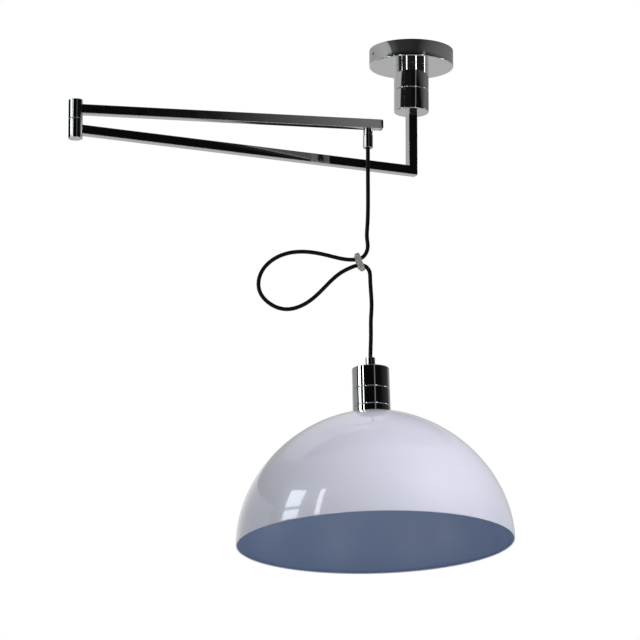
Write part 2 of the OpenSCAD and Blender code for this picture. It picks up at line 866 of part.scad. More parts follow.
// Thin glass: a straight neck, a cone that meets the bowl without a corner, and a round bowl
module bulb_glass() {
    r = bulb_d / 2;
    wall = 1;
    neck_r = base_d / 2 - 0.6;
    neck_h = 6;
    centre = base_bottom - bulb_len + r;
    to_neck = [neck_r, bulb_len - r - neck_h];
    last = 180 - atan2(to_neck[0], to_neck[1]) - acos(r / norm(to_neck));
    steps = 20;
    bowl = [for (i = [0 : steps]) let (a = last * i / steps) [sin(a), -cos(a)]];
    color(white) on_cup() rotate_extrude() polygon(concat(
        [for (p = bowl) [r * p[0], centre + r * p[1]]],
        [[neck_r, base_bottom - neck_h], [neck_r, base_bottom],
         [neck_r - wall, base_bottom], [neck_r - wall, base_bottom - neck_h]],
        [for (i = [steps : -1 : 0]) [(r - wall) * bowl[i][0], centre + (r - wall) * bowl[i][1]]]));
}

mounting_plate();
bearing_housing();
housing_screws();
canopy();
canopy_screws();
neck_upper();
stop_pin();
thrust_washer();
terminal_block();
earth_screw();
cable_mains();
spindle();
lock_nut();
stop_collar();
neck_lower();
neck_screws();
post_tube();
lower_arm_tube();
elbow_lower();
elbow_base_cap();
elbow_pin();
elbow_ring();
elbow_washer();
cable_lower();
elbow_upper();
elbow_top_cap();
upper_arm_tube();
arm_end_cap();
gland_nipple();
gland_collar();
gland_ring();
cable_upper();
gland_sleeve();
cord_grip();
cord_upper();
cord_loop();
cord_lower();
cord_clip();
cup_ferrule();
ferrule_screw();
cup_cap();
cup_stem();
stem_nut();
cord_tail();
cup_ring();
shade_ring();
shade();
retaining_ring();
lampholder_body();
thread_shell();
centre_contact();
bulb_base();
bulb_glass();
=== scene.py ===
"""A ceiling swing-arm pendant lamp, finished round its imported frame."""

import json
import math

import bpy
import numpy as np
from bpy.props import FloatProperty, FloatVectorProperty, IntProperty, PointerProperty
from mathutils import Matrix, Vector


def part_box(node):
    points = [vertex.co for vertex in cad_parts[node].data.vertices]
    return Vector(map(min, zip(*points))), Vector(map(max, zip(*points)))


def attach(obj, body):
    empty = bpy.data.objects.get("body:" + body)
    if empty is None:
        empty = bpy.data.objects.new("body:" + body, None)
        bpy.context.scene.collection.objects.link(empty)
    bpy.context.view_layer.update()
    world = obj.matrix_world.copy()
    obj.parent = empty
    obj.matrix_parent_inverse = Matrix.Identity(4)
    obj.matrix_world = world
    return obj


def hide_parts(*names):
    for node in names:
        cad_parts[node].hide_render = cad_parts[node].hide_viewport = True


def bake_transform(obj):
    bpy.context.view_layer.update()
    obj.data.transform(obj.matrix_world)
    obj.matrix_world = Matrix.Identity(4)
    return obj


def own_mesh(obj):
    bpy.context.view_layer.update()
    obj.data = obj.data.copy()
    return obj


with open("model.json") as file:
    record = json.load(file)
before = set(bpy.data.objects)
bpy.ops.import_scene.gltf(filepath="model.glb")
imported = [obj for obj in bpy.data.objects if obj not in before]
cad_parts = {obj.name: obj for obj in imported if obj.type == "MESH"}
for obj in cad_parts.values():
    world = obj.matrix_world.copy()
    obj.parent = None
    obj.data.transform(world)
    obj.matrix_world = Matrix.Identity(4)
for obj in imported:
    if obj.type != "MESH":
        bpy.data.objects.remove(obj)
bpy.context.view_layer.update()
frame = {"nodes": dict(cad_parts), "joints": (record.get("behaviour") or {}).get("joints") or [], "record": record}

bl_info = {
    "name": "Swing-arm pendant lamp",
    "version": (1, 0, 0),
    "blender": (4, 5, 0),
    "location": "View3D > Sidebar > Pendant Lamp",
    "description": "Builds the finished surfaces of a ceiling lamp with two folding arms and a domed shade",
    "category": "Object",
}

MM = 0.001
TAU = 2 * math.pi
BODIES = frame["record"]["behaviour"]["bodies"]
BODY_OF = {node: body for body, nodes in BODIES.items() for node in nodes}
JOINTS = {joint["name"]: joint for joint in frame["joints"]}
SLOT_OF = {row["node"]: row["material_slot"] for row in frame["record"]["subparts"]}

# The cord's route in its hanging plane, in millimetres: across, and up from the middle of the gland's mouth
ROUTE = [
    (0, 11.5), (0, -20), (0, -55), (0, -90), (-1, -120), (-1.5, -140), (-0.5, -152), (-3, -162), (-9, -169),
    (-19, -172), (-40, -170.5), (-62, -165), (-92, -160), (-122, -163), (-146, -176), (-160, -196),
    (-161, -219), (-146, -239), (-122, -248), (-92, -239), (-62, -212), (-40, -192), (-26, -184.5),
    (-16, -181), (-6, -181.5), (1, -188), (3, -200), (4, -220), (5, -245), (4, -265), (4, -285),
    (3.5, -307), (3, -327),
]
# The legs of the route whose middles lie in the clip's eyes
UPPER_LEG = 8
LOWER_LEG = 23
# Sizes that more than one piece uses, in millimetres
STEM_BORE = 5.02        # bore on the hollow stem and on the gland's nipple
NECK_BORE = 20.4        # bore on the lampholder's neck, in the shade and in its ring
TAIL_BORE = 3.4         # hole that the cord's tail passes through
CAP_HEIGHT, RING_HEIGHT, SEAT_HEIGHT = 32.6, 26.1, 9.5
BAND_GAP = 0.3          # gap between two bands of the cup
RING_LEVEL = -(CAP_HEIGHT + BAND_GAP)
SEAT_RING_LEVEL = RING_LEVEL - RING_HEIGHT - BAND_GAP
SHADE_LEVEL = SEAT_RING_LEVEL - SEAT_HEIGHT


def linear(code):
    """An sRGB hex colour as linear red, green and blue."""
    srgb = np.array([int(code[i : i + 2], 16) for i in (1, 3, 5)]) / 255
    return tuple(np.where(srgb <= 0.04045, srgb / 12.92, ((srgb + 0.055) / 1.055) ** 2.4).tolist())


# ---- what a user would change ----


def length(name, about, value, least=0.0):
    """A length in millimetres, as a property of the panel."""
    return FloatProperty(name=name, description=about, default=value, min=least, precision=2)


def colour(name, about, code):
    """A colour, as a property of the panel."""
    return FloatVectorProperty(name=name, description=about, default=linear(code), size=3, min=0, max=1,
                               subtype="COLOR")


def angle(name, about, degrees):
    """An angle, as a property of the panel."""
    return FloatProperty(name=name, description=about, default=math.radians(degrees), subtype="ANGLE")


class LampSizes(bpy.types.PropertyGroup):
    """Sizes of the lamp's finished surfaces, in millimetres and degrees"""

    edge: length("Edge radius", "Radius of the turned parts' outer edges, in mm", 0.55, 0.05)
    lower_edge: length("Lower edge radius", "Radius of the turned parts' lower edges, in mm", 1.5, 0.05)
    fine_edge: length("Fine edge radius", "Radius of the small parts' edges, in mm", 0.3, 0.02)
    canopy_edge: length("Canopy edge", "Radius of the canopy's lower edge, in mm", 1.6, 0.1)
    canopy_wall: length("Canopy wall", "Wall of the canopy, in mm", 1.2, 0.5)
    neck_wall: length("Neck wall", "Wall of the neck covers, in mm", 2.0, 0.5)
    tube_corner: length("Tube corner", "Radius of the square tube's corners, in mm", 1.0, 0.1)
    cord_diameter: length("Cord diameter", "Diameter of the round cord, in mm", 6.0, 1.0)
    hang_turn: angle("Hanging plane", "Turn of the cord's plane, clockwise from X", 24)
    lean: angle("Lean", "Lean of the cup and shade as they hang", 1.5)
    clip_lean: angle("Clip lean", "Lean of the clip", 20)
    cup_across: length("Cup offset", "How far the cup hangs beside the gland, in mm", 3.2, -50)
    cup_drop: length("Cup drop", "Drop from the gland's mouth to the cup's top, in mm", 339, 50)
    cup_diameter: length("Cup diameter", "Diameter of the cup's cap, in mm", 55.4, 20)
    shade_diameter: length("Shade diameter", "Diameter of the shade's rim, in mm", 410, 100)
    shade_height: length("Shade height", "Height of the dome to its full crown, in mm", 197, 50)
    shade_wall: length("Shade wall", "Wall of the shade, in mm", 0.8, 0.3)
    shade_bead: length("Rim bead", "Radius of the bead rolled on the shade's rim, in mm", 0.95, 0.3)
    sides: IntProperty(name="Sides", description="Steps round a turned part", default=160, min=24, max=360)


class LampColours(bpy.types.PropertyGroup):
    """Colours of the lamp's finishes"""

    chrome: colour("Chrome", "Reflection of chromium plate", "#C5C6C6")
    zinc: colour("Zinc plate", "Reflection of bright zinc on steel", "#B4B7BB")
    nickel: colour("Nickel plate", "Reflection of nickel on screws", "#B7B3AA")
    brass: colour("Brass", "Reflection of plain brass", "#D9B878")
    nylon: colour("Nylon", "Natural nylon of the terminal block", "#DEDCD0")
    phenolic: colour("Phenolic", "Moulded black of the lampholder", "#161617")
    sheath: colour("Cord sheath", "Black PVC of the cord", "#040404")
    clip: colour("Clip", "Cast zinc of the clip", "#C4C4BC")
    lacquer: colour("Shade outside", "Gloss lacquer of the shade", "#E4E5F1")
    # The inside's blue-grey is darker than the outside's white: painted shade for the inside of the dome
    lining: colour("Shade inside", "Satin lacquer inside the shade", "#96A8C8")
    opal: colour("Bulb", "Opal glass of the bulb", "#F1F0EA")


def sizes():
    """The lamp's sizes in this scene."""
    return bpy.context.scene.lamp_sizes


def colours():
    """The lamp's colours in this scene."""
    return bpy.context.scene.lamp_colours


# ---- shapes ----


def unit(vector):
    """The vector, or each row of an array of them, at length one."""
    return vector / np.linalg.norm(vector, axis=-1, keepdims=True)


def rounded(outline, radius, steps=5, loop=True):
    """An outline with its corners turned into arcs. A corner's arc has its centre on the corner's bisector
    at r / sin(half angle), starts and ends r / tan(half angle) along the two sides, and runs between them by
    equal turns. A point just past each end keeps the straight side's shading flat. radius is one value or
    one a corner, and 0 leaves a corner sharp."""
    points = np.asarray(outline, float)
    radii = np.broadcast_to(radius, len(points))
    past = 0.08
    made = []
    for i, (corner, r) in enumerate(zip(points, radii)):
        if r == 0 or (not loop and i in (0, len(points) - 1)):
            made.append(corner)
            continue
        before = unit(points[i - 1] - corner)
        after = unit(points[(i + 1) % len(points)] - corner)
        half = math.acos(float(np.clip(before @ after, -1, 1))) / 2
        start, end = (corner + way * r / math.tan(half) for way in (before, after))
        centre = corner + unit(before + after) * r / math.sin(half)
        sweep = math.pi - 2 * half
        share = np.linspace(0, 1, steps + 1)[:, None]
        arc = np.sin((1 - share) * sweep) * (start - centre) + np.sin(share * sweep) * (end - centre)
        made += [start + before * past, *(centre + arc / math.sin(sweep)), end + after * past]
    return np.array(made)


def closed_grid(rows, columns, loop):
    """Quads of a grid that closes round its columns and, as a loop, round its rows too."""
    row = np.arange(rows if loop else rows - 1)[:, None]
    column = np.arange(columns)[None, :]
    below, beside = (row + 1) % rows, (column + 1) % columns
    here, under = row * columns, below * columns
    corners = (here + column, here + beside, under + beside, under + column)
    return np.stack(np.broadcast_arrays(*corners), -1).reshape(-1, 4)


def capped(rings):
    """A solid skin through rings of points, P(ring, step), closed by a flat face at each end."""
    rings = np.asarray(rings, float)
    count, sides = rings.shape[:2]
    faces = closed_grid(count, sides, False).tolist()
    faces += [list(range(sides))[::-1], list(range((count - 1) * sides, count * sides))]
    return rings.reshape(-1, 3), faces


def turned(profile, ribs=None):
    """A profile carried round Z: P(u, v) = (r(v) cos u, r(v) sin u, z(v)). A profile that starts and ends on
    the axis closes there in two poles, and any other is a closed loop. ribs = (count, depth, lowest, highest)
    adds depth (cos(count u) - 1) to the radius of the outer points between two heights."""
    profile = np.asarray(profile, float)
    sides = sizes().sides
    poles = profile[0, 0] == 0 and profile[-1, 0] == 0
    body = profile[1:-1] if poles else profile
    around = np.arange(sides) * TAU / sides
    radius = np.repeat(body[:, :1], sides, 1)
    height = np.repeat(body[:, 1:], sides, 1)
    if ribs:
        count, depth, lowest, highest = ribs
        skin = (height > lowest) & (height < highest) & (radius > 0.9 * radius.max())
        radius = radius + np.where(skin, depth * (np.cos(count * around) - 1), 0)
    points = np.stack([radius * np.cos(around), radius * np.sin(around), height], -1).reshape(-1, 3)
    faces = closed_grid(len(body), sides, not poles)
    if not poles:
        return points, faces.tolist()
    step = np.arange(sides)
    last = (len(body) - 1) * sides
    first_pole, last_pole = len(points), len(points) + 1
    fans = [np.stack([np.full(sides, first_pole), (step + 1) % sides, step], -1),
            np.stack([np.full(sides, last_pole), last + step, last + (step + 1) % sides], -1)]
    points = np.vstack([points, [0, 0, profile[0, 1]], [0, 0, profile[-1, 1]]])
    return points, faces.tolist() + fans[0].tolist() + fans[1].tolist()


def smooth_line(points):
    """A natural cubic spline through points. With knots t at the chord lengths, each leg is
    P = a P0 + b P1 + ((a^3 - a) M0 + (b^3 - b) M1) h^2 / 6, where b = (t - t0) / h, a = 1 - b, and the second
    derivatives M solve the tridiagonal system that makes the slope continuous. Returns P as a function of t,
    and the knots."""
    points = np.asarray(points, float)
    knots = np.r_[0, np.cumsum(np.linalg.norm(np.diff(points, axis=0), axis=1))]
    gap = np.diff(knots)
    slope = np.diff(points, axis=0) / gap[:, None]
    inner = 2 * (gap[:-1] + gap[1:])
    system = np.diag(np.r_[1, inner, 1])
    system += np.diag(np.r_[gap[:-1], 0], -1) + np.diag(np.r_[0, gap[1:]], 1)
    bend = np.linalg.solve(system, np.vstack([np.zeros(points.shape[1]), 6 * np.diff(slope, axis=0),
                                              np.zeros(points.shape[1])]))

    def at(t):
        leg = np.clip(np.searchsorted(knots, t, side="right") - 1, 0, len(gap) - 1)
        h = gap[leg][:, None]
        b = (t - knots[leg])[:, None] / h
        a = 1 - b
        curve = ((a**3 - a) * bend[leg] + (b**3 - b) * bend[leg + 1]) * h**2 / 6
        return a * points[leg] + b * points[leg + 1] + curve

    return at, knots


def tube_along(path, radius, sides):
    """A round bar along a path in the XZ plane: P(s, u) = path(s) + r (cos u n(s) + sin u Y), where n is the
    path's normal in its plane."""
    heading = unit(np.gradient(path, axis=0))
    normal = np.stack([-heading[:, 2], np.zeros(len(path)), heading[:, 0]], -1)
    around = (np.arange(sides) * TAU / sides)[None, :, None]
    spoke = np.cos(around) * normal[:, None] + np.sin(around) * [0, 1, 0]
    return capped(path[:, None] + radius * spoke)


def square_section(side, corner):
    """The outline of a square bar with round corners, in the plane across its length."""
    half = side / 2
    return rounded([(-half, -half), (half, -half), (half, half), (-half, half)], corner, steps=6)


def bar(section, start, end, side, up, cut=None):
    """A straight bar: P(s, u) = start + s (end - start) + x(u) side + z(u) up. cut is the normal of a slanted
    plane at the far end, and each of that end's points slides along the bar until it lies in the plane. A
    ring just inside each end keeps the sides' shading flat."""
    start, end, side, up = (np.asarray(v, float) for v in (start, end, side, up))
    along = unit(end - start)
    across = section[:, :1] * side + section[:, 1:] * up
    first, last = start + across, end + across
    if cut is not None:
        last = last - ((across @ cut) / (along @ cut))[:, None] * along
    inset = 0.2 * along
    return capped([first, first + inset, last - inset, last])


def placed(points, origin, turn=0.0, lean=0.0):
    """Points leaned about Y, turned about Z and moved: P' = Rz(turn) Ry(lean) P + origin."""
    c, s = math.cos(lean), math.sin(lean)
    leaned = points @ np.array([[c, 0, s], [0, 1, 0], [-s, 0, c]]).T
    c, s = math.cos(turn), math.sin(turn)
    return leaned @ np.array([[c, -s, 0], [s, c, 0], [0, 0, 1]]).T + np.asarray(origin, float)


def outward(points, faces):
    """The faces, turned over if the closed skin that they make has a negative volume: the sum of a . (b x c)
    over the triangles that fan out from each face's first corner."""
    first = points[[f[0] for f in faces]]
    volume = 0.0
    longest = max(len(f) for f in faces)
    for k in range(1, longest - 1):
        has = np.array([len(f) > k + 1 for f in faces])
        second = points[[f[min(k, len(f) - 1)] for f in faces]]
        third = points[[f[min(k + 1, len(f) - 1)] for f in faces]]
        volume += (np.einsum("ij,ij->i", first, np.cross(second, third)) * has).sum()
    return faces if volume > 0 else [f[::-1] for f in faces]


def piece(name, skins, node, *others, materials=None, choice=None):
    """Makes one object from closed skins in millimetres and finish of the CAD node that it
    replaces. others are further nodes that it replaces. materials stands in for the node's finish, and
    choice then gives each face its material's number."""
    points, faces, first = [], [], 0
    for skin_points, skin_faces in skins:
        faces += [[i + first for i in f] for f in outward(skin_points, skin_faces)]
        points.append(skin_points)
        first += len(skin_points)
    mesh = bpy.data.meshes.new(name)
    mesh.from_pydata((np.vstack(points) * MM).tolist(), [], faces)
    for each in materials or [node_finish(node)]:
        mesh.materials.append(each)
    mesh.polygons.foreach_set("use_smooth", np.ones(len(faces), bool))
    if choice is not None:
        mesh.polygons.foreach_set("material_index", np.asarray(choice, np.int32))
    mesh.set_sharp_from_angle(angle=math.radians(35))
    mesh.update()
    made = bpy.data.objects.new(name, mesh)
    bpy.context.scene.collection.objects.link(made)
    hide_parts(node, *others)
    return made


def ridden(name, skins, node, *others, **looks):
    """A piece that rides on the body of the node that it replaces."""
    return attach(piece(name, skins, node, *others, **looks), BODY_OF[node])


def lathed(name, section, radii, node, *others, place=None, steps=5, loop=True, ribs=None):
    """A turned piece from a section of (radius, level) corners, rounded by radii. place moves its points."""
    points, faces = turned(rounded(section, radii, steps, loop), ribs)
    return ridden(name, [(place(points) if place else points, faces)], node, *others)


# ---- places, in millimetres ----


def span(node):
    """Half the width, top and bottom of an upright node, in millimetres."""
    low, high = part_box(node)
    return (high.x - low.x) / 2 / MM, high.z / MM, low.z / MM


def joint_at(name):
    """A hinge's place."""
    return np.array(JOINTS[name]["pos_m"]) / MM


def upper_arm_turn():
    """Turn of the upper arm about Z: the direction from the elbow to the gland."""
    way = joint_at("pendant_turn") - joint_at("elbow_fold")
    return math.atan2(way[1], way[0])


def mouth():
    """Middle of the gland's mouth, where the cord comes out."""
    place = joint_at("pendant_turn")
    place[2] = span("gland_sleeve")[2]
    return place


def hanging(points):
    """Points of the cord's plane, (across, deep, up), placed from the gland's mouth."""
    return placed(points, mouth(), -sizes().hang_turn)


def on_cup(points):
    """Points of the cup's own frame, whose Z axis leans as the shade hangs."""
    s = sizes()
    leaned = placed(points, (s.cup_across, 0, -s.cup_drop), 0.0, -s.lean)
    return hanging(leaned)


# ---- finishes ----


def add(tree, kind, values=None, links=None, **settings):
    """Adds a node of a kind with its settings, its inputs' values and the sockets linked to its inputs. An
    input is keyed by its name or its number."""
    node = tree.nodes.new(kind)
    for key, value in settings.items():
        setattr(node, key, value)
    for key, value in (values or {}).items():
        node.inputs[key].default_value = value
    for key, socket in (links or {}).items():
        tree.links.new(socket, node.inputs[key])
    return node


class Finish:
    """A new material, with its node tree, shader and Object coordinates. more holds other shader inputs."""

    def __init__(self, name, base, metallic, roughness, **more):
        self.material = bpy.data.materials.new(name)
        self.material.use_nodes = True
        self.base, self.tree = base, self.material.node_tree
        self.tree.nodes.clear()
        values = {"Base Color": (*base, 1), "Metallic": metallic, "Roughness": roughness}
        values.update({key.replace("_", " "): value for key, value in more.items()})
        self.shader = add(self.tree, "ShaderNodeBsdfPrincipled", values)
        add(self.tree, "ShaderNodeOutputMaterial", links={"Surface": self.shader.outputs[0]})
        self.coords = add(self.tree, "ShaderNodeTexCoord").outputs["Object"]

    def clouds(self, size_mm, detail):
        """Noise whose patches are size_mm across."""
        values = {"Scale": 1 / (size_mm * MM), "Detail": detail}
        return add(self.tree, "ShaderNodeTexNoise", values, {"Vector": self.coords}).outputs[0]

    def worn(self, pattern, least, most):
        """Roughness that follows a pattern between two values."""
        spread = add(self.tree, "ShaderNodeMapRange", {"To Min": least, "To Max": most}, {"Value": pattern})
        self.tree.links.new(spread.outputs[0], self.shader.inputs["Roughness"])

    def mottled(self, pattern, share):
        """Base colour that darkens by a share where the pattern is low."""
        dark = tuple(c * (1 - share) for c in self.base)
        values = {6: (*dark, 1), 7: (*self.base, 1)}
        mix = add(self.tree, "ShaderNodeMix", values, {0: pattern}, data_type="RGBA")
        self.tree.links.new(mix.outputs[2], self.shader.inputs["Base Color"])

    def relief(self, pattern, depth_mm, strength):
        """A bump of a depth, from a pattern."""
        values = {"Distance": depth_mm * MM, "Strength": strength}
        bump = add(self.tree, "ShaderNodeBump", values, {"Height": pattern})
        self.tree.links.new(bump.outputs[0], self.shader.inputs["Normal"])


def chrome_plate():
    """Polished chromium plate: a near mirror, grey in itself, with the faint waves and haze of buffing."""
    made = Finish("polished_chrome_plate", colours().chrome, 1.0, 0.04)
    made.worn(made.clouds(14, 5), 0.025, 0.065)
    made.mottled(made.clouds(45, 2), 0.05)
    made.relief(made.clouds(9, 2), 0.004, 0.5)
    return made.material


def zinc_plate():
    """Bright zinc on pressed steel: soft grey reflections with small crystal patches."""
    made = Finish("zinc_plated_steel", colours().zinc, 1.0, 0.34)
    crystals = add(made.tree, "ShaderNodeTexVoronoi", {"Scale": 1 / (2.5 * MM)}, {"Vector": made.coords})
    made.worn(crystals.outputs[0], 0.26, 0.42)
    made.mottled(made.clouds(6, 4), 0.18)
    made.relief(made.clouds(0.8, 3), 0.01, 0.6)
    return made.material


def nickel_plate():
    """Nickel on small screws: warm grey and fairly bright, dulled in patches by handling."""
    made = Finish("nickel_plated_steel", colours().nickel, 1.0, 0.24)
    made.worn(made.clouds(1.5, 4), 0.16, 0.36)
    made.mottled(made.clouds(3, 3), 0.15)
    return made.material


def turned_brass():
    """Plain turned brass: warm yellow metal with fine tool rings and a little tarnish."""
    made = Finish("turned_brass", colours().brass, 1.0, 0.3)
    values = {"Scale": 1 / (0.6 * MM) / TAU, "Distortion": 0.4}
    rings = add(made.tree, "ShaderNodeTexWave", values, {"Vector": made.coords}, bands_direction="Z")
    made.relief(rings.outputs[1], 0.01, 0.5)
    made.worn(made.clouds(4, 4), 0.22, 0.42)
    made.mottled(made.clouds(7, 4), 0.22)
    return made.material


def natural_nylon():
    """Moulded natural nylon: milky and slightly waxy."""
    made = Finish("natural_nylon", colours().nylon, 0.0, 0.45, IOR=1.53,
                  Subsurface_Weight=0.2, Subsurface_Scale=2 * MM)
    made.worn(made.clouds(2, 3), 0.38, 0.55)
    made.mottled(made.clouds(8, 2), 0.06)
    made.relief(made.clouds(0.5, 2), 0.01, 0.5)
    return made.material


def black_phenolic():
    """Moulded phenolic resin: a dense black with a satin skin and a fine moulded grain."""
    made = Finish("black_phenolic", colours().phenolic, 0.0, 0.35, IOR=1.6)
    made.worn(made.clouds(3, 4), 0.28, 0.45)
    made.mottled(made.clouds(5, 3), 0.3)
    made.relief(made.clouds(0.4, 2), 0.012, 0.5)
    return made.material


def cord_sheath():
    """Extruded black PVC: deep black, with a soft sheen that breaks up over the strands' faint swell."""
    made = Finish("black_pvc_sheath", colours().sheath, 0.0, 0.45, IOR=1.53, Specular_IOR_Level=0.2)
    made.worn(made.clouds(7, 4), 0.4, 0.55)
    made.mottled(made.clouds(20, 3), 0.35)
    made.relief(made.clouds(1.2, 3), 0.02, 0.5)
    return made.material


def cast_clip():
    """Die-cast zinc, tumbled and left plain: a dull light grey with a fine sandy skin."""
    made = Finish("tumbled_cast_zinc", colours().clip, 0.6, 0.42)
    made.worn(made.clouds(1.5, 4), 0.34, 0.5)
    made.mottled(made.clouds(3, 4), 0.25)
    made.relief(made.clouds(0.5, 3), 0.03, 0.7)
    return made.material


def gloss_lacquer():
    """Sprayed white lacquer under a clear coat: an even cool white with sharp highlights over faint orange
    peel."""
    made = Finish("gloss_white_lacquer", colours().lacquer, 0.0, 0.32, IOR=1.5,
                  Coat_Weight=1.0, Coat_Roughness=0.06, Coat_IOR=1.65)
    made.mottled(made.clouds(60, 2), 0.015)
    made.relief(made.clouds(2.2, 2), 0.004, 0.35)
    return made.material


def lining_painted_shade():
    """Satin lacquer inside the shade, in a slate blue-grey whose darkness against the outside's white is painted
    shade for the inside of the dome. It softens what it reflects.
    """
    made = Finish("satin_lacquer_painted_shade", colours().lining, 0.0, 0.4, IOR=1.5)
    made.worn(made.clouds(12, 3), 0.34, 0.48)
    made.mottled(made.clouds(50, 3), 0.03)
    made.relief(made.clouds(1.6, 2), 0.006, 0.4)
    return made.material


def opal_glass():
    """Opal glass: a milky white that glows a little at its edges under a smooth skin."""
    made = Finish("opal_glass", colours().opal, 0.0, 0.18, IOR=1.5, Subsurface_Weight=0.4,
                  Subsurface_Scale=4 * MM)
    made.worn(made.clouds(18, 2), 0.14, 0.24)
    made.mottled(made.clouds(25, 2), 0.03)
    return made.material


FINISHES = {
    "chrome": chrome_plate,
    "zinc_steel": zinc_plate,
    "screw_steel": nickel_plate,
    "brass": turned_brass,
    "terminal_plastic": natural_nylon,
    "black_plastic": black_phenolic,
    "cable_sheath": cord_sheath,
    "cord_sheath": cord_sheath,
    "clip_metal": cast_clip,
    "white_lacquer": gloss_lacquer,
    "opal_glass": opal_glass,
}
MADE = {}


def finish_of(maker):
    """The material that a finish's function makes, made once."""
    if maker not in MADE:
        MADE[maker] = maker()
    return MADE[maker]


def node_finish(node):
    """The material of a CAD node's slot."""
    return finish_of(FINISHES[SLOT_OF[node]])


# ---- the cord ----


def half_clip(eye, end, depth, thick, bore, edge):
    """One half of the clip, from its middle plane to its end, round an eye: P(u, v) = (x(v), r(u, v) cos u,
    eye + r(u, v) sin u), where x runs through the plate and r from the bore to the plate's outline, as v
    carries a rounded rectangle round. The outline is the nearest, in each direction, of the flat sides, the
    half circle at the end and the middle plane. The edge's radius is at most 0.45 of the wall."""
    sides, tiny, far = 96, 1e-9, 1e9
    u = np.arange(sides) * TAU / sides
    way = np.stack([np.cos(u), np.sin(u)], -1)
    half = depth / 2
    to_side = half / np.maximum(np.abs(way[:, 0]), tiny)
    to_middle = np.where(way[:, 1] < 0, eye / np.maximum(-way[:, 1], tiny), far)
    centre = end - half - eye
    along = way[:, 1] * centre
    to_arc = along + np.sqrt(np.maximum(along**2 - centre**2 + half**2, 0))
    past_straight = to_side * way[:, 1] > centre
    outline = np.minimum(np.where(past_straight, to_arc, to_side), to_middle)
    edge = np.minimum(edge, 0.45 * (outline - bore / 2))
    quarter = np.linspace(0, math.pi / 2, 5)
    steps = [(1, 1 - math.cos(a), 1 - math.sin(a)) for a in quarter]
    steps += [(0, 1 - math.sin(a), 1 - math.cos(a)) for a in quarter]
    rings = []
    for half_turn in (-1, 1):
        for inner, gap, deep in steps[::-half_turn]:
            radius = bore / 2 + edge * gap if inner else outline - edge * gap
            through = half_turn * (thick / 2 - edge * deep)
            rings.append(np.stack([through, radius * way[:, 0], eye + radius * way[:, 1]], -1))
    rings = np.array(rings)
    return rings.reshape(-1, 3), closed_grid(len(rings), sides, True).tolist()


class LAMP_OT_cord(bpy.types.Operator):
    """Lays the cord from the gland through the clip, round its loop and down to the cup"""

    bl_idname = "lamp.cord"
    bl_label = "Cord"

    def execute(self, context):
        s = sizes()
        at, knots = smooth_line([(x, 0, z) for x, z in ROUTE])
        eyes = [(knots[i] + knots[i + 1]) / 2 for i in (UPPER_LEG, LOWER_LEG)]
        clip = self.clip(at(np.array(eyes)))
        stretches = [("cord_upper", knots[0], eyes[0], "fitting"),
                     ("cord_loop", eyes[0], eyes[1], "fitting"),
                     ("cord_lower", eyes[1], knots[-1], "object")]
        step, sides = 1.5, 24
        for name, start, end, far_end in stretches:
            path = at(np.linspace(start, end, round((end - start) / step) + 1))
            points, faces = tube_along(path, s.cord_diameter / 2, sides)
            made = piece(name + "_sheath", [(hanging(points), faces)], name)
            line = hanging(path) * MM
            leaves = mouth() * MM if name == "cord_upper" else line[0]
            if name == "cord_upper":
                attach(made, "pendant")
            elif name == "cord_loop":
                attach(made, "pendant")
                # Points at the loop's root by the clip and at its far side are worked out but not used, and the
                # loop gets a mesh of its own
                root, far_side = hanging(np.array([(-12.0, 0, -176), (-161.0, 0, -230)]))
                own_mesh(made)
            else:
                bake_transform(made)
        return {"FINISHED"}

    def clip(self, eyes):
        """The link between the two eyes: two half plates, one round each eye, that meet in the middle, and a
        short collar through each eye."""
        eye = float(np.linalg.norm(eyes[0] - eyes[1])) / 2
        bore, collar_r, collar_low, collar_high = 8.8, 5.9, -5.6, 3.3
        plate, faces = half_clip(eye, end=14.5, depth=11.4, thick=7.5, bore=bore, edge=2.0)
        section = [(bore / 2, collar_low), (collar_r, collar_low), (collar_r, collar_high),
                   (bore / 2, collar_high)]
        upright, quads = turned(rounded(section, [0.3, 0.7, 0.5, 0.3]))
        collar = upright[:, [2, 1, 0]] * [1, 1, -1]
        skins = [(plate * [1, 1, flip], faces) for flip in (1, -1)]
        skins += [(collar + [0, 0, flip * eye], quads) for flip in (1, -1)]
        lean = -sizes().clip_lean
        skins = [(hanging(placed(skin, eyes.mean(0), 0, lean)), quads) for skin, quads in skins]
        return ridden("clip_link", skins, "cord_clip")


# ---- canopy and neck ----


class LAMP_OT_canopy(bpy.types.Operator):
    """Spins the canopy and the two neck covers"""

    bl_idname = "lamp.canopy"
    bl_label = "Canopy and neck"

    def execute(self, context):
        s = sizes()
        r, top, bottom = span("canopy")
        flange, fine, steps = 11.7, 0.2, 8
        bore, wall = span("bearing_housing")[0] - flange, s.canopy_wall
        section = [(r - wall, top), (r, top), (r, bottom), (bore, bottom), (bore, bottom + wall),
                   (r - wall, bottom + wall)]
        radii = [fine, 0.4, s.canopy_edge, fine, fine, 0.5]
        lathed("canopy_shell", section, radii, "canopy", steps=steps)

        r, top, bottom = span("neck_upper")
        inner, lip = r - s.neck_wall, 3
        section = [(bore, top), (r, top), (r, bottom), (bore, bottom), (bore, bottom + lip),
                   (inner, bottom + lip), (inner, top - lip), (bore, top - lip)]
        radii = [fine, s.fine_edge, s.lower_edge, fine, fine, 0.3, 0.3, fine]
        lathed("neck_cover_fixed", section, radii, "neck_upper", steps=steps)

        r, top, bottom = span("neck_lower")
        inner, floor, hole = r - s.neck_wall, bottom + 4, 6.9
        section = [(inner, top), (r, top), (r, bottom), (hole, bottom), (hole, floor), (inner, floor)]
        radii = [0.3, s.edge, s.lower_edge, fine, fine, 0.4]
        lathed("neck_cover_turning", section, radii, "neck_lower", steps=steps)
        return {"FINISHED"}


# ---- arms and elbow ----


